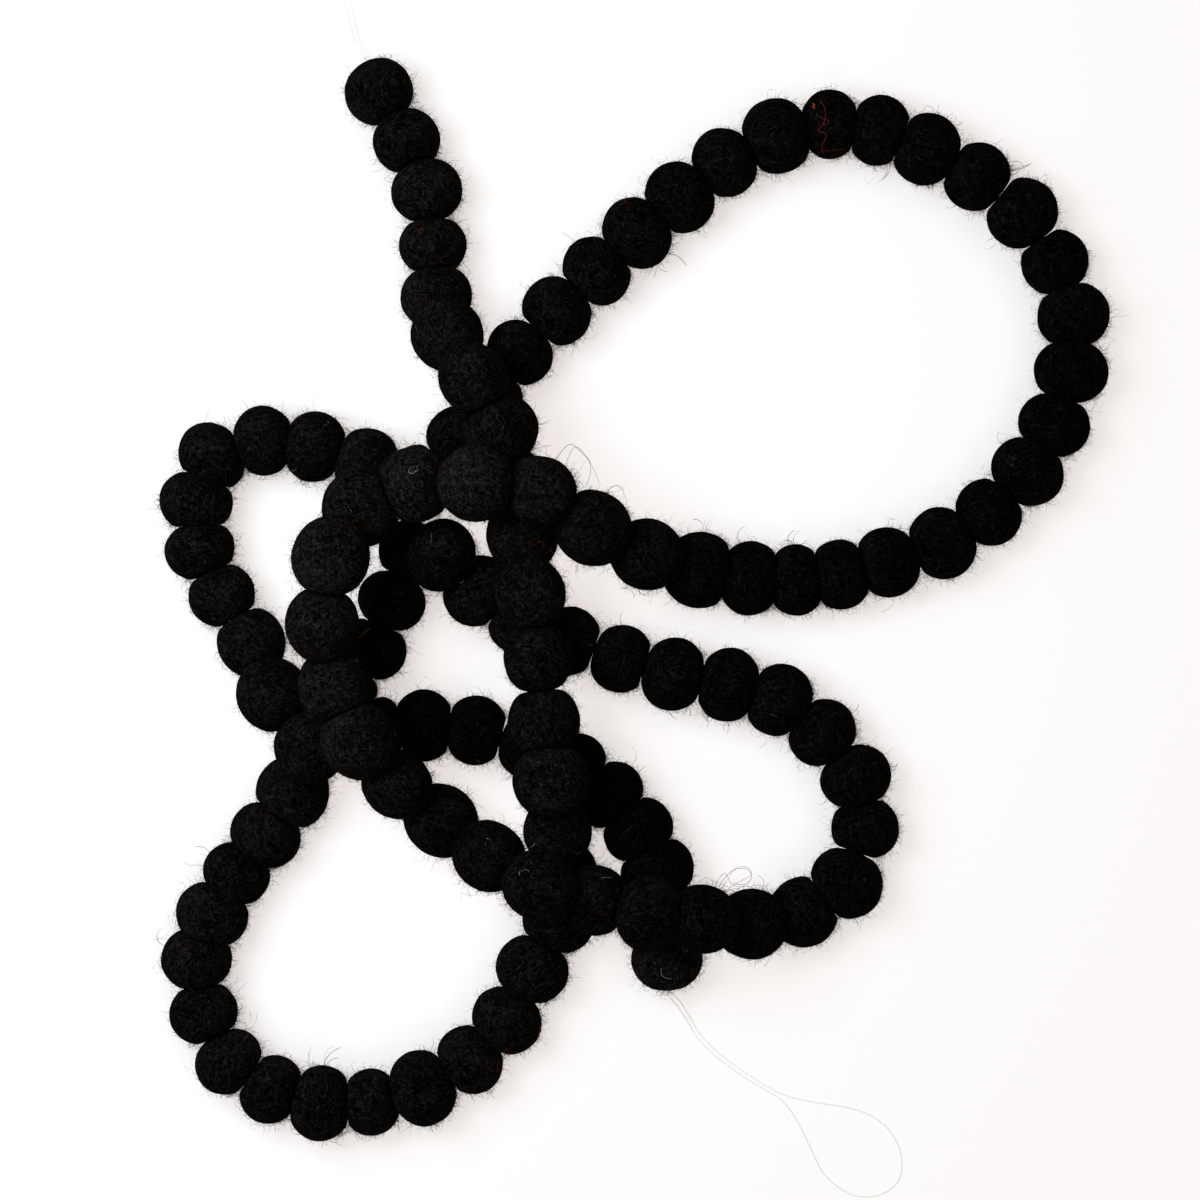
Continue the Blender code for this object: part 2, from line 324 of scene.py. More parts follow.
class Ball:
    """One felt ball: its place, its axis along the string and the faces that it shares with neighbours."""

    def __init__(self, number, centres, radii):
        self.number = number
        self.centre = centres[number]
        self.radius = radii[number]
        self.joints = []
        for other in (number - 1, number + 1):
            if 0 <= other < len(centres):
                step = centres[other] - self.centre
                apart = np.linalg.norm(step)
                reach = apart * self.radius / (self.radius + radii[other])
                pair = random.Random(SEED + JOINT_SEEDS * max(number, other))
                bulge = pair.choice((-1, 1)) * pair.uniform(*FACE_BULGES)
                self.joints.append((step / apart, reach, bulge if other > number else -bulge))
        ahead = self.joints[-1][0] if number < len(centres) - 1 else -self.joints[0][0]
        behind = -self.joints[0][0] if number > 0 else ahead
        self.axis = unit(ahead + behind)
        half_length = BALL_HALF_LENGTH * self.radius / BALL_RADIUS
        self.half_length = max([half_length] + [FACE_REACH * reach for _, reach, _ in self.joints])
        chance = random.Random(SEED + number)
        self.side = unit(np.cross(self.axis, [chance.uniform(-1, 1) for _ in range(3)]))
        self.up = np.cross(self.axis, self.side)
        self.stretch = 1 + ROUND_SPREAD * chance.uniform(-1, 1)
        self.shift = Vector([chance.uniform(-1, 1) for _ in range(3)])
        # A turn of its own for the wool's grain, so that no two balls show the same whorls
        turn = [chance.gauss(0, 1) for _ in range(4)]
        self.grain = np.array(Quaternion(turn).normalized().to_matrix())

    def lumps(self, away):
        """How far the felt rises above the plain form in each direction."""
        rise = np.zeros(len(away))
        for size, height in LUMPS:
            scale = self.radius / size
            places = (Vector(each) * scale + LUMP_SHIFT * self.shift for each in away)
            rise += height * np.array([noise.noise(place) for place in places])
        return rise

    def surface(self, away):
        """Points of the ball's surface in the given directions from its centre."""
        along = away @ self.axis
        across = np.hypot(away @ self.side * self.stretch, away @ self.up / self.stretch)
        shares = (np.abs(along) / self.half_length) ** ROUNDNESS + (across / self.radius) ** ROUNDNESS
        distance = shares ** (-1 / ROUNDNESS) + self.lumps(away)
        from_pole = np.degrees(np.arccos(np.clip(np.abs(along), 0, 1)))
        wide = END_HOLE if len(self.joints) == 1 else 1.0
        dimple = np.degrees(wide * HOLE_RADIUS / self.half_length)
        distance -= HOLE_DEPTH * np.exp(-((from_pole / dimple) ** 2))
        points = self.centre + distance[:, None] * away
        for direction, reach, bulge in self.joints:
            offsets = points - self.centre
            past = offsets @ direction
            off_axis = np.linalg.norm(offsets - past[:, None] * direction, axis=1)
            face = reach - JOINT_GAP / 2 + bulge * (1 - (off_axis / FACE_RADIUS) ** 2)
            kept = soft_limit(past, face, EDGE_SOFTNESS)
            points += (kept - past)[:, None] * direction
        points[:, 2] = -soft_limit(-points[:, 2], -FLOOR_GAP, FLOOR_SOFTNESS)
        return points

    def directions(self, around, along):
        """Directions over a ball: both poles, on the string's axis, and rings between them."""
        tilt = np.pi * np.arange(1, along) / along
        turn = 2 * np.pi * np.arange(around) / around
        ring_side = np.cos(turn)[:, None] * self.side + np.sin(turn)[:, None] * self.up
        rings = np.cos(tilt)[:, None, None] * self.axis + np.sin(tilt)[:, None, None] * ring_side
        return np.concatenate([[self.axis], rings.reshape(-1, 3), [-self.axis]])


def ball_faces(around, along):
    """Faces over the points of Ball.directions, facing out."""
    last = (along - 1) * around + 1
    faces = []
    for k in range(around):
        after = (k + 1) % around
        faces.append((0, 1 + k, 1 + after))
        for row in range(along - 2):
            start = 1 + row * around
            faces.append((start + k, start + around + k, start + around + after, start + after))
        start = 1 + (along - 2) * around
        faces.append((start + k, last, start + after))
    return faces


# ---- Felt: material ------------------------------------------------------------------------------
# Layers of wrapped fibres: the turn of a layer's axis, and the place in the noise that its gaps come from
LAYERS = (
    ((0.3, 0.2, 0.0), (0.0, 17.0, 5.0)),
    ((1.5, 0.4, 0.9), (31.0, 17.0, 5.0)),
    ((0.7, 2.1, 0.3), (62.0, 17.0, 5.0)),
)
BEND_SCALE = 0.22  # of the noise that bends the strokes, for each mm
BEND_REACH = 3.2  # of the bends, in mm
STROKE_SCALES = (0.09, 0.09, 1.25)  # for each mm: drawn out round a layer's axis and fine along it
STROKE_FADE = (0.97, 0.75)  # cosines from a layer's axis: no strokes at the first, all at the second
HAIR_WIDTH = 0.05  # half the width of a fine line, in the values of its noise
GAP_SCALE = 0.7  # of the noise that breaks the strokes off, for each mm
GAPS = (0.30, 0.70)  # values of that noise: no strokes at the first, all at the second
GRAIN_SCALE = 2.3  # of the grain between the strokes, for each mm
GRAIN_LEVELS = (0.35, 0.75)  # values of its noise: none at the first, all at the second
GRAIN_SHARE = 0.34  # of the grain, beside a whole stroke's 1
WOOL_APART = 60.0  # mm in the noise from one ball's wool to the next one's

# Tone of the felt, from the gaps to the strokes, and its linear colour
FELT_TONES = (
    (0.06, (0.0002, 0.0002, 0.0002)),
    (0.16, (0.0009, 0.0008, 0.0007)),
    (0.40, (0.0050, 0.0044, 0.0037)),
    (0.70, (0.0150, 0.0136, 0.0118)),
    (1.00, (0.030, 0.028, 0.025)),
)


def felt_material():
    """Wet-felted black wool: layers of fine fibres wrapped round the ball in curved strokes."""
    material, tree, shader, add = new_material("black_felt")

    def vector(operation, *values, **named):
        inputs = {**dict(enumerate(values)), **named}
        return add("ShaderNodeVectorMath", inputs, operation=operation).outputs[0]

    def number(operation, *values):
        return add("ShaderNodeMath", dict(enumerate(values)), operation=operation).outputs[0]

    def noise_at(place, scale, detail, roughness=0.5):
        values = {"Vector": place, "Scale": scale, "Detail": detail, "Roughness": roughness}
        return add("ShaderNodeTexNoise", values).outputs

    def spread(value, low, high):
        return add("ShaderNodeMapRange", {"Value": value, "From Min": low, "From Max": high}).outputs[0]

    local = attribute(add, "wool")
    offset = attribute(add, "wool_offset")
    place = vector("ADD", local, offset)
    bend = vector("SUBTRACT", noise_at(place, BEND_SCALE, 2.0)["Color"], (0.5, 0.5, 0.5))
    bend = vector("SCALE", bend, Scale=BEND_REACH)
    strokes = None
    for turn, gap_place in LAYERS:
        inputs = {"Vector": local, "Rotation": turn}
        wrapped = add("ShaderNodeVectorRotate", inputs, rotation_type="EULER_XYZ").outputs[0]
        # Rings about this layer's axis, fading out where the surface faces along it
        parts = add("ShaderNodeSeparateXYZ", {"Vector": vector("NORMALIZE", wrapped)}).outputs
        open_share = spread(number("ABSOLUTE", parts["Z"]), *STROKE_FADE)
        wound = vector("ADD", vector("ADD", wrapped, bend), offset)
        fibres = noise_at(vector("MULTIPLY", wound, STROKE_SCALES), 1.0, 3.0, 0.65)["Fac"]
        # Fine lines where the stretched pattern passes through its middle value
        hairs = spread(number("ABSOLUTE", number("SUBTRACT", fibres, 0.5)), HAIR_WIDTH, 0.0)
        gaps = noise_at(vector("ADD", place, gap_place), GAP_SCALE, 2.0, 0.6)["Fac"]
        layer_tone = number("MULTIPLY", number("MULTIPLY", hairs, spread(gaps, *GAPS)), open_share)
        strokes = layer_tone if strokes is None else number("MAXIMUM", strokes, layer_tone)
    grain = spread(noise_at(place, GRAIN_SCALE, 2.0, 0.7)["Fac"], *GRAIN_LEVELS)
    wool = number("ADD", strokes, number("MULTIPLY", grain, GRAIN_SHARE))
    ramp = add("ShaderNodeValToRGB", {"Fac": wool})
    stops = ramp.color_ramp.elements
    while len(stops) < len(FELT_TONES):
        stops.new(0.5)
    for stop, (position, tone) in zip(stops, FELT_TONES):
        stop.position, stop.color = position, (*tone, 1.0)
    # Each ball's paleness scales the tones: its own tone, with painted light and shade
    colour = vector("SCALE", ramp.outputs["Color"], Scale=attribute(add, "paleness_and_shade", "Fac"))
    tree.links.new(colour, shader.inputs["Base Color"])
    rough = add("ShaderNodeMapRange", {"Value": wool, "To Min": 0.95, "To Max": 0.7})
    tree.links.new(rough.outputs[0], shader.inputs["Roughness"])
    bump = add("ShaderNodeBump", {"Height": wool, "Strength": 0.6, "Distance": 0.2 * MM})
    tree.links.new(bump.outputs["Normal"], shader.inputs["Normal"])
    shader.inputs["Specular IOR Level"].default_value = 0.0
    shader.inputs["Sheen Weight"].default_value = 0.002
    return material


# Partly each ball's own tone, partly painted light and shade: paler on the raised balls, darker on the low
# ones beneath them
# How pale the felt looks along the string, with painted light and shade: ball, and the factor by which its
# tones are scaled
PALENESS_AND_SHADE = (
    (0, 0.9),
    (40, 0.8),
    (50, 0.55),
    (58, 0.47),
    (67, 0.47),
    (70, 0.95),
    (71.5, 1.6),
    (73, 1.15),
    (76, 1.05),
    (80, 0.65),
    (92, 0.5),
    (97, 0.8),
    (104, 0.32),
    (110, 0.32),
    (112, 1.5),
)
PALENESS_SPREAD = 0.12  # between one ball and the next
PALENESS_SEEDS = 5000  # from a ball's own seed to that of its paleness


def paleness_and_shade(ball):
    """How pale one ball's felt looks: its own tone, scaled by painted light and shade along the string."""
    knots, shares = zip(*PALENESS_AND_SHADE)
    own = random.Random(SEED + PALENESS_SEEDS + ball.number).uniform(-1, 1)
    return np.interp(ball.number, knots, shares) * (1 + PALENESS_SPREAD * own)


def add_balls(balls, felt):
    """One piece for each run of the frame's balls, in place of its solid."""
    faces = ball_faces(AROUND, ALONG)
    for run, members in runs(balls):
        points, wool, offsets, tones, all_faces = [], [], [], [], []
        for ball in members:
            surface = ball.surface(ball.directions(AROUND, ALONG))
            all_faces += [tuple(corner + len(points) * len(surface) for corner in face) for face in faces]
            points.append(surface)
            wool.append((surface - ball.centre) @ ball.grain.T / MM)
            offsets.append(np.tile([WOOL_APART * ball.number, 0.0, 0.0], (len(surface), 1)))
            # Each ball's paleness, with painted light and shade
            tones.append(np.full(len(surface), paleness_and_shade(ball)))
        piece = mesh_piece(f"felt_run_{run:02d}", np.concatenate(points), all_faces)
        layers = piece.data.attributes
        for name, values in (("wool", wool), ("wool_offset", offsets)):
            data = layers.new(name, "FLOAT_VECTOR", "POINT").data
            data.foreach_set("vector", np.concatenate(values).ravel())
        layers.new("paleness_and_shade", "FLOAT", "POINT").data.foreach_set("value", np.concatenate(tones))
        piece.data.materials.append(felt)
        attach(piece, "root")
        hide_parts(f"ball_run_{run:02d}")


# ---- Loose wool fibres ---------------------------------------------------------------------------
# tone, colour: name of a tone, and its linear colour
# in_fuzz, in_nap, in_strokes: share of the fibres of each kind that are of it
FIBRE_COLUMNS = ("tone", "colour", "in_fuzz", "in_nap", "in_strokes")
FIBRES = (
    ("black", (0.0020, 0.0016, 0.0013), 0.86, 0.50, 0.20),
    ("charcoal", (0.012, 0.010, 0.008), 0.12, 0.46, 0.52),
    ("grey", (0.040, 0.037, 0.032), 0.016, 0.037, 0.274),
    ("pale", (0.24, 0.22, 0.19), 0.0015, 0.001, 0.002),
    ("rust", (0.14, 0.022, 0.008), 0.0025, 0.002, 0.004),
    ("orange", (0.45, 0.09, 0.02), 0.0, 0.0, 0.0),
)
TONES = {row[0]: index for index, row in enumerate(FIBRES)}

FUZZ_PER_BALL = 540
CLUMPS_PER_BALL = 120
CLUMP_SPREAD = 0.10  # of a clump's roots, as a share of the ball's radius
FUZZ_LENGTH = 3.3 * MM  # middle length
FUZZ_LENGTHS = (1.2 * MM, 8.0 * MM)
FUZZ_SPREAD = 0.45  # of the lengths' logarithm
FUZZ_WIDTH = (0.045 * MM, 0.115 * MM)  # at the root
FUZZ_CURL = 950.0  # middle curl, in radians for each metre
FUZZ_CURLS = (0.4, 1.7)  # least and greatest, as shares of the middle curl
FUZZ_RISE = (0.15, 0.85)  # of a heading: the share of it that leads straight off the ball
LEAN_SPREAD = 0.7  # of the headings in a clump
FUZZ_DRIFT = 0.4  # of a fibre's axis of curl, at each step
FUZZ_STEPS = 5
NAP_PER_BALL = 240  # shorter fibres that blur the outline
NAP_LENGTH = (0.6 * MM, 1.8 * MM)
NAP_STEPS = 3
NAP_LEAN = 0.8  # how far the nap's headings stray from straight off the ball
STROKES_PER_BALL = 60
STROKE_LENGTH = (1.6 * MM, 5.0 * MM)
STROKE_WIDTH = (0.05 * MM, 0.09 * MM)
STROKE_STEPS = 4
STROKE_SPREAD = 0.25  # of the headings in a swirl
STROKE_BEND = 0.35  # of a stroke, to one side
STROKE_LIFT = 0.10 * MM  # of its middle above the felt
STROKE_SINK = 0.02 * MM  # of its ends below it
POLES_PER_BALL = 3  # centres of the swirls in which the wool was wound
ROOT_DEPTH = 0.985  # of a root, as a share of the way from the ball's middle to its surface
NAP_ROOT_DEPTH = 0.99
FIBRE_FLOOR = 0.1 * MM  # least height of a fibre
TIP_SHARE = 0.75  # width of a fibre at the last step before its tip, as a share of the root's
SHELTERED = np.array([0.5, -0.4, 0.0])  # towards the side where more fibres stand off, and how much more
POLE_THINNING = 0.9  # how much scarcer fibres are on a ball's top and underside than round its sides
NOTCH_THICKENING = 1.0  # how much denser they are beside a neighbour
NOTCH_START = 0.3  # cosine from a neighbour's direction at which that begins
NOTCH_RANGE = 0.4  # of cosine, until it is whole
NEAR_JOINT = 0.80  # cosine from a neighbour's direction: closer in, the faces are pressed together
MOST_LIKELY = 1.64  # greatest value of the measure before it is scaled, away from neighbours
CANDIDATES = 12  # directions tried for each that is wanted
FIBRE_SEEDS = 1000 * SEED


def turned(vectors, axes, angles):
    """Vectors turned about unit axes."""
    cosine, sine = np.cos(angles)[:, None], np.sin(angles)[:, None]
    along = (vectors * axes).sum(1, keepdims=True) * axes
    return vectors * cosine + np.cross(axes, vectors) * sine + along * (1 - cosine)


def open_directions(ball, count, chance):
    """Random directions from a ball's middle that don't point into a neighbour."""
    away = units(chance.normal(size=(CANDIDATES * count, 3)))
    likelihood = (1 - POLE_THINNING * np.abs(away[:, 2])) * (1 + away @ SHELTERED) / MOST_LIKELY
    for direction, _, _ in ball.joints:
        toward = away @ direction
        notch = np.clip((toward - NOTCH_START) / NOTCH_RANGE, 0, 1)
        likelihood *= (1 + NOTCH_THICKENING * notch) * (toward < NEAR_JOINT)
    away = away[chance.random(len(away)) * (1 + NOTCH_THICKENING) < likelihood]
    return away[:count]


def fuzz_paths(roots, headings, lengths, curls, steps, chance, level=0.0, drift=FUZZ_DRIFT):
    """Paths of loose fibres, each curling about an axis that drifts.

    A high level keeps the curls flat in plan.
    """
    axes = chance.normal(size=roots.shape)
    axes[:, 2] += level * np.sign(axes[:, 2])
    axes = units(axes)
    path = [roots]
    for _ in range(steps):
        headings = turned(headings, axes, curls * lengths / steps)
        axes = units(axes + drift * chance.normal(size=axes.shape))
        point = path[-1] + headings * (lengths / steps)[:, None]
        point[:, 2] = np.maximum(point[:, 2], FIBRE_FLOOR)
        path.append(point)
    return np.stack(path, axis=1)


def ball_fuzz(ball, chance):
    """Paths, widths and facings of the short fibres that stand off a ball."""
    clumps = open_directions(ball, CLUMPS_PER_BALL, chance)
    leans = chance.normal(size=clumps.shape)
    chosen = chance.integers(len(clumps), size=FUZZ_PER_BALL)
    away = units(clumps[chosen] + CLUMP_SPREAD * chance.normal(size=(FUZZ_PER_BALL, 3)))
    count = len(away)
    roots = ball.centre + ROOT_DEPTH * (ball.surface(away) - ball.centre)
    tangents = units(np.cross(away, leans[chosen] + LEAN_SPREAD * chance.normal(size=away.shape)))
    rise = chance.uniform(*FUZZ_RISE, count)[:, None]
    headings = units(rise * away + np.sqrt(1 - rise**2) * tangents)
    lengths = np.clip(FUZZ_LENGTH * np.exp(FUZZ_SPREAD * chance.normal(size=count)), *FUZZ_LENGTHS)
    curls = FUZZ_CURL * chance.uniform(*FUZZ_CURLS, count)
    paths = fuzz_paths(roots, headings, lengths, curls, FUZZ_STEPS, chance)
    return paths, chance.uniform(*FUZZ_WIDTH, count), chance.normal(size=roots.shape)


def ball_nap(ball, chance):
    """Paths, widths and facings of the shortest fibres, all over a ball."""
    away = open_directions(ball, NAP_PER_BALL, chance)
    roots = ball.centre + NAP_ROOT_DEPTH * (ball.surface(away) - ball.centre)
    headings = units(away + NAP_LEAN * chance.normal(size=away.shape))
    lengths = chance.uniform(*NAP_LENGTH, len(away))
    curls = FUZZ_CURL * chance.uniform(*FUZZ_CURLS, len(away))
    paths = fuzz_paths(roots, headings, lengths, curls, NAP_STEPS, chance)
    return paths, chance.uniform(*FUZZ_WIDTH, len(away)), chance.normal(size=roots.shape)


def ball_strokes(ball, chance):
    """Paths, widths and facings of fibres that lie on a ball's surface, in swirls."""
    away = open_directions(ball, STROKES_PER_BALL, chance)
    count = len(away)
    poles = units(chance.normal(size=(POLES_PER_BALL, 3)))[chance.integers(POLES_PER_BALL, size=count)]
    tangents = units(np.cross(away, poles) + STROKE_SPREAD * chance.normal(size=away.shape))
    spans = chance.uniform(*STROKE_LENGTH, count) / ball.radius
    bends = chance.normal(0, STROKE_BEND, count)
    path = []
    for share in np.linspace(0, 1, STROKE_STEPS + 1):
        ahead = units(away + (share * spans)[:, None] * tangents)
        ahead = units(ahead + (bends * (share * spans) ** 2)[:, None] * np.cross(away, tangents))
        lift = STROKE_LIFT * (4 * share * (1 - share)) - STROKE_SINK
        point = ball.surface(ahead) + lift * ahead
        point[:, 2] = np.maximum(point[:, 2], FIBRE_FLOOR)
        path.append(point)
    return np.stack(path, axis=1), chance.uniform(*STROKE_WIDTH, count), away


# Stray hairs and tufts that stand out, by ball
# bearing, rise: degrees in plan from +X towards +Y, and above level, of where they leave the ball
# spread: degrees either way of that for most of them
# count: hairs, length: mm, curl: radians for each mm
TUFT_COLUMNS = ("ball", "bearing", "rise", "spread", "count", "length", "curl", "tone")
TUFTS = (
    (65, 95, 20, 16, 10, 8.0, 0.45, "black"),
    (84, 52, 25, 12, 5, 11.0, 0.42, "black"),
    (85, 112, 20, 14, 5, 11.0, 0.40, "black"),
    (54, 10, 20, 25, 7, 7.0, 0.30, "black"),
    (71, 95, 25, 25, 6, 6.0, 0.35, "charcoal"),
    (85, 60, 10, 30, 6, 8.0, 0.35, "black"),
    (92, 250, 5, 30, 6, 7.5, 0.35, "black"),
    (68, 270, 5, 30, 7, 8.0, 0.35, "black"),
    (47, 300, 5, 30, 5, 8.0, 0.2, "black"),
    (52, 280, 5, 40, 8, 9.0, 0.2, "black"),
    (22, 90, 5, 30, 6, 9.0, 0.2, "black"),
    (24, 60, 5, 30, 6, 9.0, 0.2, "black"),
    (63, 250, 5, 30, 5, 8.0, 0.2, "black"),
    (72, 80, 72, 14, 3, 9.0, 0.5, "pale"),
    (14, 200, 50, 10, 2, 5.0, 0.5, "pale"),
    (81, 120, 55, 15, 3, 4.0, 0.8, "pale"),
    (80, 100, 60, 10, 1, 4.0, 0.6, "pale"),
)
# Hairs that lie on a ball in view from above: ball, tone, and points as shares of the ball's radius.
# Points beyond 1 stand off its side
LYING_COLUMNS = ("ball", "tone", "points")
LYING_HAIRS = (
    (51, "rust", (
        (-0.36, 0.55), (-0.22, 0.22), (-0.27, -0.15), (-0.44, -0.36), (-0.18, -0.45), (-0.28, -0.75),
        (-0.2, -0.93),
    )),
    (51, "orange", ((-0.60, 0.52), (-0.54, 0.42), (-0.60, 0.38), (-0.53, 0.32), (-0.58, 0.46))),
    (51, "orange", ((-0.57, 0.50), (-0.52, 0.45), (-0.57, 0.40), (-0.52, 0.36))),
    (51, "rust", ((-0.46, 0.10), (-0.30, -0.02), (-0.12, -0.10), (-0.30, -0.22))),
    (51, "rust", ((-0.28, -0.86), (0.0, -0.84), (0.25, -0.82), (0.45, -0.80))),
    (3, "rust", ((-0.40, 0.30), (-0.28, 0.38), (-0.20, 0.28))),
    (9, "rust", ((0.42, -0.22), (0.55, -0.18), (0.60, -0.32), (0.50, -0.36))),
    (9, "rust", ((0.62, -0.50), (0.74, -0.44), (0.80, -0.34))),
    (70, "charcoal", ((0.40, 0.80), (0.82, 1.30), (1.15, 1.06), (1.36, 0.79), (1.36, 0.44), (1.20, 0.06))),
    (70, "charcoal", ((0.70, 0.70), (0.96, 1.21), (1.24, 1.01), (1.44, 0.64), (1.63, 0.11))),
    (18, "rust", (
        (0.94, -0.05), (0.80, -0.45), (0.45, -0.82), (0.08, -0.90), (-0.10, -0.84), (0.04, -0.68),
        (0.06, -0.86),
    )),
    (19, "rust", ((0.90, 0.10), (0.84, -0.05), (0.80, -0.25), (0.88, -0.22))),
    (14, "charcoal", ((-0.5, 0.3), (-0.2, 0.5), (0.2, 0.45))),
    (112, "pale", ((-0.18, -0.12), (-0.14, -0.34), (0.14, -0.43))),
    (84, "black", ((-0.2, 0.95), (0.1, 1.18), (0.3, 1.1), (0.55, 1.0), (0.85, 0.85))),
    (85, "black", (
        (-0.7, 0.6), (-0.9, 0.9), (-0.8, 1.2), (-0.5, 1.5), (-0.15, 1.55), (0.0, 1.32), (-0.2, 1.1),
        (-0.55, 1.15),
    )),
    (85, "black", (
        (-0.7, 0.6), (-0.65, 0.95), (-0.3, 1.2), (0.0, 1.4), (-0.15, 1.6), (-0.45, 1.55), (-0.6, 1.3),
    )),
    (85, "black", ((-0.8, 0.55), (-1.0, 1.0), (-0.75, 1.4), (-0.55, 1.1), (-0.3, 1.05))),
)
LYING_STEPS = 5  # for each stretch between two points
TUFT_STEPS = 12
TUFT_LEVEL = 4.0  # keeps the curls of tufts and stray hairs flat in plan
TUFT_DRIFT = 0.08
TUFT_WIDTH = (0.10 * MM, 0.20 * MM)
TUFT_LENGTHS = (0.6, 1.2)  # least and greatest, as shares of the row's length
TUFT_CURLS = (0.6, 1.3)  # least and greatest, as shares of the row's curl
TUFT_HEADING = (0.8, 0.6)  # parts of a heading that lead off the ball and along it
STRAYS_PER_BALL = 1.5  # on average, about one bearing
STRAY_RISE = 10  # degrees, as in TUFTS
STRAY_SPREAD = 60  # degrees
STRAY_LENGTHS = (4.0, 8.5)  # mm
STRAY_CURL = 0.35  # radians for each mm
STRAY_TONE = "black"


def tuft_paths(balls, row, chance):
    """Paths, widths and facings of one row of TUFTS."""
    tuft = dict(zip(TUFT_COLUMNS, row))
    ball, count = balls[tuft["ball"]], tuft["count"]
    bearing, rise = (
        np.radians(tuft[key] + tuft["spread"] * chance.normal(0, 0.5, count)) for key in ("bearing", "rise")
    )
    away = np.stack([np.cos(rise) * np.cos(bearing), np.cos(rise) * np.sin(bearing), np.sin(rise)], axis=1)
    roots = ball.centre + ROOT_DEPTH * (ball.surface(away) - ball.centre)
    tangents = units(np.cross(away, chance.normal(size=away.shape)))
    headings = units(TUFT_HEADING[0] * away + TUFT_HEADING[1] * tangents)
    lengths = tuft["length"] * MM * chance.uniform(*TUFT_LENGTHS, count)
    curls = tuft["curl"] / MM * chance.uniform(*TUFT_CURLS, count)
    paths = fuzz_paths(roots, headings, lengths, curls, TUFT_STEPS, chance, TUFT_LEVEL, TUFT_DRIFT)
    return paths, chance.uniform(*TUFT_WIDTH, count), chance.normal(size=roots.shape)


def lying_path(balls, row, chance):
    """Path, width and facing of one row of LYING_HAIRS."""
    hair = dict(zip(LYING_COLUMNS, row))
    ball, count = balls[hair["ball"]], len(hair["points"])
    stations = np.linspace(0, count - 1, LYING_STEPS * (count - 1) + 1)
    level = smooth_curve(np.arange(count, dtype=float), hair["points"], stations)
    reach = np.linalg.norm(level, axis=1, keepdims=True)
    away = units(np.column_stack([level, np.sqrt(np.maximum(1 - reach**2, 0.0))]))
    path = ball.centre + np.maximum(reach, 1) * (ball.surface(away) + STROKE_LIFT * away - ball.centre)
    return path[None], chance.uniform(*TUFT_WIDTH, 1), np.array([[0.0, 0.0, 1.0]])


def strips(paths, widths, facings):
    """Points and triangles of narrow strips along the paths, each running out in a tip."""
    fibres, stations, _ = paths.shape
    rings = stations - 1
    headings = np.gradient(paths, axis=1)[:, :-1]
    side = units(np.cross(headings, facings[:, None]))
    reach = widths[:, None, None] / 2 * np.linspace(1, TIP_SHARE, rings)[None, :, None] * side
    edges = np.stack([paths[:, :-1] - reach, paths[:, :-1] + reach], axis=2).reshape(fibres, 2 * rings, 3)
    points = np.concatenate([edges, paths[:, -1:]], axis=1)
    pattern = []
    for here in range(0, 2 * rings - 2, 2):
        pattern += [(here, here + 1, here + 3), (here, here + 3, here + 2)]
    tip = 2 * rings
    pattern.append((tip - 2, tip - 1, tip))
    starts = np.arange(fibres) * (tip + 1)
    triangles = np.array(pattern)[None] + starts[:, None, None]
    return points.reshape(-1, 3), triangles.reshape(-1, 3), len(pattern)


def fibre_materials():
    """One material for each tone of loose wool."""
    made = []
    for tone, colour, *_ in FIBRES:
        material, _, shader, _ = new_material(f"wool_fibre_{tone}")
        shader.inputs["Base Color"].default_value = (*colour, 1.0)
        shader.inputs["Roughness"].default_value = 0.7
        shader.inputs["Specular IOR Level"].default_value = 0.02
        made.append(material)
    return made


def ball_fibres(balls, ball):
    """Strands of every kind on one ball, each with the tone of every fibre in it."""
    chance = np.random.default_rng(FIBRE_SEEDS + ball.number)
    parts = []
    for make, column in ((ball_fuzz, "in_fuzz"), (ball_nap, "in_nap"), (ball_strokes, "in_strokes")):
        shares = [row[FIBRE_COLUMNS.index(column)] for row in FIBRES]
        strands = make(ball, chance)
        parts.append((strands, chance.choice(len(FIBRES), len(strands[0]), p=shares)))
    for row in TUFTS:
        if row[0] == ball.number:
            strands = tuft_paths(balls, row, chance)
            parts.append((strands, np.full(len(strands[0]), TONES[row[-1]])))
    for row in LYING_HAIRS:
        if row[0] == ball.number:
            parts.append((lying_path(balls, row, chance), np.full(1, TONES[row[1]])))
    strays = chance.poisson(STRAYS_PER_BALL)
    if strays:
        bearing, length = chance.uniform(0, 360), chance.uniform(*STRAY_LENGTHS)
        row = (ball.number, bearing, STRAY_RISE, STRAY_SPREAD, strays, length, STRAY_CURL, STRAY_TONE)
        parts.append((tuft_paths(balls, row, chance), np.full(strays, TONES[STRAY_TONE])))
    return parts


def add_fibres(balls, materials):
    """One piece of loose fibres for each run of balls."""
    for run, members in runs(balls):
        points, triangles, tones, total = [], [], [], 0
        for strands, tone in (part for ball in members for part in ball_fibres(balls, ball)):
            corners, faces, per_fibre = strips(*strands)
            points.append(corners)
            triangles.append(faces + total)
            tones.append(np.repeat(tone, per_fibre))
            total += len(corners)
        triangles = np.concatenate(triangles).tolist()
        piece = mesh_piece(f"fuzz_run_{run:02d}", np.concatenate(points), triangles)
        for material in materials:
            piece.data.materials.append(material)
        piece.data.polygons.foreach_set("material_index", np.concatenate(tones))
        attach(piece, "root")


# ---- Thread --------------------------------------------------------------------------------------
THREAD_RADIUS = 0.25 * MM
THREAD_SIDES = 12
THREAD_STEP = 0.28 * MM  # between two rings of a thread's surface
PLIES = 3
PLY_DEPTH = 0.10  # of the groove between two plies, as a share of the radius
PLY_FULLNESS = 0.7  # exponent of a ply's section: lower is broader, with a sharper groove
TWIST_LENGTH = 2.2 * MM  # in which a ply goes once round
ROUTE_SAMPLES = 40  # between two points of a route
# Scales of the cotton's grain: for each mm of thread, for each radian of twist, and from groove to ply
COTTON_SCALES = (1.5, 3.0, 0.6)
COTTON_GRAIN = 0.5  # of the grain in the tone

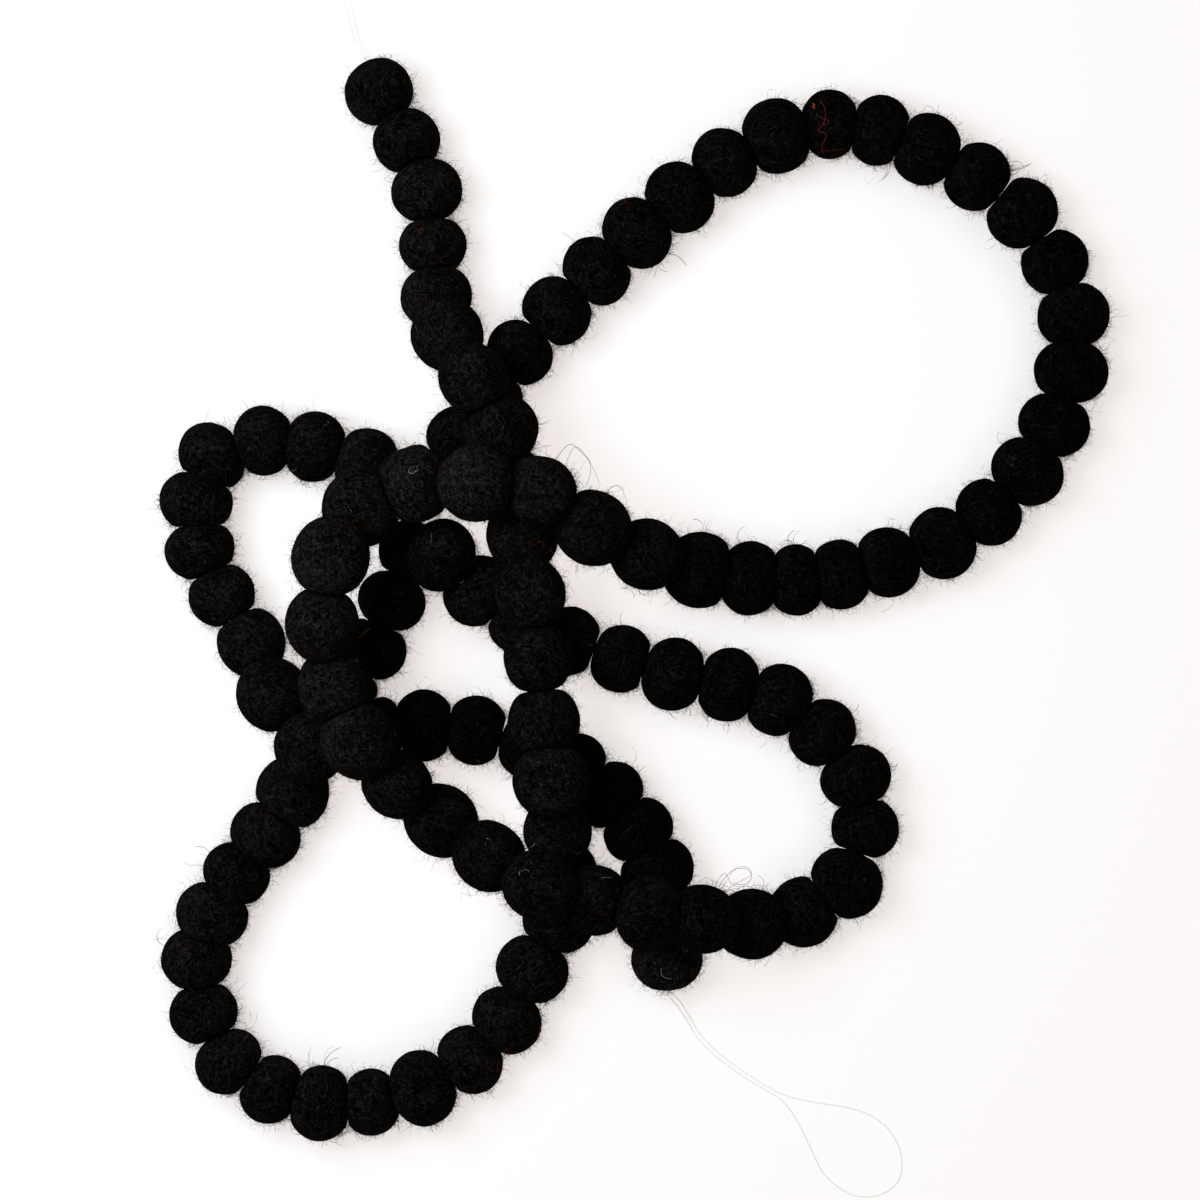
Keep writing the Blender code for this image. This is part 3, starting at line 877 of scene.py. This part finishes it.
# Routes of the thread that shows, from the end ball's face outwards: x, y and height in mm
THREAD_ROUTES = {
    # The fold of the doubled thread: out from the last ball, round the loop and back to it
    "thread_loop": ("object", (
        (10.9, -123.1, 9.6),
        (12.6, -124.8, 8.4),
        (14.9, -128, 4.6),
        (17.6, -133, 1.0),
        (21, -138.6, 0.3),
        (27, -144.4, 0.3),
        (36, -151, 0.3),
        (46.5, -157, 0.3),
        (56, -159.4, 0.3),
        (66, -161, 0.3),
        (74, -163.5, 0.3),
        (80, -168, 0.3),
        (84, -175.5, 0.3),
        (83.5, -184, 0.3),
        (77, -189, 0.3),
        (68, -188.5, 0.3),
        (60, -182.5, 0.3),
        (55.5, -174, 0.3),
        (51, -165, 0.3),
        (45.6, -158.4, 0.3),
        (35.4, -152.2, 0.3),
        (26.2, -145.5, 0.3),
        (20.1, -139.6, 0.3),
        (16.6, -133.9, 1.0),
        (13.7, -128.9, 4.6),
        (11.3, -125.7, 8.4),
        (9.7, -123.1, 9.6),
    )),
    # The thread's two free ends, past the first ball
    "thread_end_left": ("bare", (
        (-85.3, 166.5, 9.7),
        (-86.5, 168.7, 8.4),
        (-87.8, 172.6, 3.8),
        (-89.3, 178, 0.8),
        (-91, 185, 0.3),
        (-93.1, 194.5, 0.3),
        (-95, 204, 0.3),
    )),
    "thread_end_right": ("bare", (
        (-84.1, 167.1, 9.7),
        (-85.2, 169.4, 8.4),
        (-86.4, 173.2, 3.8),
        (-87.8, 178.6, 0.8),
        (-89.4, 185.5, 0.3),
        (-91.2, 195, 0.3),
        (-92.4, 205, 0.3),
    )),
}


def thread_points(route, step):
    """Evenly spaced points of the smooth curve through a thread's route."""
    knots = np.arange(len(route), dtype=float)
    fine = smooth_curve(knots, route, np.linspace(0, knots[-1], ROUTE_SAMPLES * len(route))) * MM
    lengths = np.concatenate([[0], np.cumsum(np.linalg.norm(np.diff(fine, axis=0), axis=1))])
    stations = np.linspace(0, lengths[-1], round(lengths[-1] / step) + 1)
    return np.column_stack([np.interp(stations, lengths, fine[:, axis]) for axis in range(3)]), lengths[-1]


def thread_material():
    """Undyed cotton: cream with a fine grain along the twist, painted shade between plies, and a painted
    glow.
    """
    material, tree, shader, add = new_material("cream_thread")
    twist = attribute(add, "twist")
    fibres = add("ShaderNodeTexNoise", {"Vector": twist, "Scale": 1.0, "Detail": 3.0, "Roughness": 0.6})
    parts = add("ShaderNodeSeparateXYZ", {"Vector": twist})
    grain = add("ShaderNodeMath", {0: fibres.outputs["Fac"], 1: COTTON_GRAIN}, operation="MULTIPLY")
    # Painted shade: the tone is darker in the grooves between the plies, where the swell is low, with the
    # grain added
    tone = add("ShaderNodeMath", {0: parts.outputs["Z"], 1: grain.outputs[0]}, operation="ADD").outputs[0]
    ramp = add("ShaderNodeValToRGB", {"Fac": tone})
    low, high = ramp.color_ramp.elements
    low.position, low.color = 0.1, (0.95, 0.92, 0.85, 1)
    high.position, high.color = 0.9, (1.0, 0.985, 0.95, 1)
    tree.links.new(ramp.outputs["Color"], shader.inputs["Base Color"])
    rough = add("ShaderNodeMapRange", {"Value": tone, "To Min": 0.95, "To Max": 0.75})
    tree.links.new(rough.outputs[0], shader.inputs["Roughness"])
    bump = add("ShaderNodeBump", {"Height": fibres.outputs["Fac"], "Strength": 0.5, "Distance": 0.04 * MM})
    tree.links.new(bump.outputs["Normal"], shader.inputs["Normal"])
    shader.inputs["Specular IOR Level"].default_value = 0.3
    shader.inputs["Sheen Weight"].default_value = 0.2
    # Painted glow: the thread gives off light of its own, standing in for light that passes through its
    # fine fibres
    shader.inputs["Emission Color"].default_value = (1.0, 0.96, 0.90, 1)
    shader.inputs["Emission Strength"].default_value = 0.24
    return material


def add_thread(name, route, material):
    """A twisted thread along its route, in place of the frame's plain tube."""
    path, length = thread_points(route, THREAD_STEP)
    headings = units(np.gradient(path, axis=0))
    side = units(np.cross(headings, (0.0, 0.0, 1.0)))
    up = np.cross(side, headings)
    along = np.linspace(0, length, len(path))
    turn = 2 * np.pi * np.arange(THREAD_SIDES) / THREAD_SIDES
    phase = turn[None] - 2 * np.pi * along[:, None] / TWIST_LENGTH
    swell = np.abs(np.cos(PLIES * phase / 2)) ** PLY_FULLNESS
    radius = THREAD_RADIUS * (1 - PLY_DEPTH + PLY_DEPTH * swell)
    out = np.cos(turn)[None, :, None] * side[:, None] + np.sin(turn)[None, :, None] * up[:, None]
    points = (path[:, None] + radius[..., None] * out).reshape(-1, 3)
    points[:, 2] = np.maximum(points[:, 2], FLOOR_GAP)
    faces = [tuple(range(THREAD_SIDES - 1, -1, -1))]
    for start in range(0, len(points) - THREAD_SIDES, THREAD_SIDES):
        for k in range(THREAD_SIDES):
            after = (k + 1) % THREAD_SIDES
            faces.append((start + k, start + after, start + THREAD_SIDES + after, start + THREAD_SIDES + k))
    faces.append(tuple(range(len(points) - THREAD_SIDES, len(points))))
    piece = mesh_piece(f"cotton_{name}", points, faces)
    distance = np.repeat(along[:, None], THREAD_SIDES, axis=1) / MM
    twist = np.stack([distance, phase, swell], axis=2) * COTTON_SCALES
    piece.data.attributes.new("twist", "FLOAT_VECTOR", "POINT").data.foreach_set("vector", twist.ravel())
    piece.data.materials.append(material)
    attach(piece, "root")
    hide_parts(name)


# ---- Floor and light -----------------------------------------------------------------------------
FLOOR_HEIGHT = -0.05 * MM
FLOOR_REACH = 30  # metres each way from the origin
FLOOR_GLOW = 0.835  # on the open sheet
NOOK_GLOW = 0.60  # NOOK_GLOW = 0.60 # lower where the balls close it in: painted shade
NOOK_REACH = 12 * MM  # from which balls close it in
KEY_PLACE = (-0.30, 0.11, 0.52)
KEY_SIZE = 0.36
KEY_POWER = 3.1
KEY_COLOUR = (1.0, 0.99, 0.975)
SURROUND_STRENGTH = 0.18
SURROUND_COLOUR = (1.0, 0.99, 0.985)


def add_floor():
    """A white sheet with a glow of its own, which keeps shadows on it faint; the glow fades in tight nooks
    as painted shade.
    """
    sides = ((-1, -1), (1, -1), (1, 1), (-1, 1))
    corners = np.array([(x * FLOOR_REACH, y * FLOOR_REACH, FLOOR_HEIGHT) for x, y in sides])
    floor = mesh_piece("floor", corners, [(0, 1, 2, 3)])
    material, tree, shader, add = new_material("pale_floor")
    # A bluish sheet under a warm glow: white in the open, with a painted warm tint where shade falls
    shader.inputs["Base Color"].default_value = (0.245, 0.32, 0.36, 1)
    shader.inputs["Emission Color"].default_value = (1.0, 0.925, 0.885, 1)
    # Painted shade: the glow dims where balls close the sheet in
    openness = add("ShaderNodeAmbientOcclusion", {"Distance": NOOK_REACH}, samples=8).outputs["AO"]
    glow = add("ShaderNodeMapRange", {"Value": openness, "To Min": NOOK_GLOW, "To Max": FLOOR_GLOW})
    tree.links.new(glow.outputs[0], shader.inputs["Emission Strength"])
    material.cycles.emission_sampling = "NONE"
    shader.inputs["Roughness"].default_value = 0.9
    shader.inputs["Specular IOR Level"].default_value = 0.1
    floor.data.materials.append(material)


def add_light(name, place, size, power, colour):
    """A soft square lamp that faces the garland."""
    data = bpy.data.lights.new(name, "AREA")
    data.size = size
    data.energy = power
    data.color = colour
    lamp = bpy.data.objects.new(name, data)
    lamp.location = place
    lamp.visible_camera = False
    lamp.rotation_euler = (-Vector(place)).to_track_quat("-Z", "Y").to_euler()
    bpy.context.scene.collection.objects.link(lamp)


def add_world(strength, colour):
    """An even, dim surround."""
    world = bpy.data.worlds.new("studio")
    world.use_nodes = True
    background = world.node_tree.nodes["Background"]
    background.inputs["Color"].default_value = (*colour, 1)
    background.inputs["Strength"].default_value = strength
    bpy.context.scene.world = world


# ---- Making it all -------------------------------------------------------------------------------
places, sizes = lay_out_balls()
balls = [Ball(number, places, sizes) for number in range(len(places))]
cream = thread_material()
for name, (far_end, route) in THREAD_ROUTES.items():
    add_thread(name, route, cream)
add_balls(balls, felt_material())
add_fibres(balls, fibre_materials())
add_floor()
add_light("key", KEY_PLACE, KEY_SIZE, KEY_POWER, KEY_COLOUR)
add_world(SURROUND_STRENGTH, SURROUND_COLOUR)
bpy.context.scene.view_settings.view_transform = "Standard"
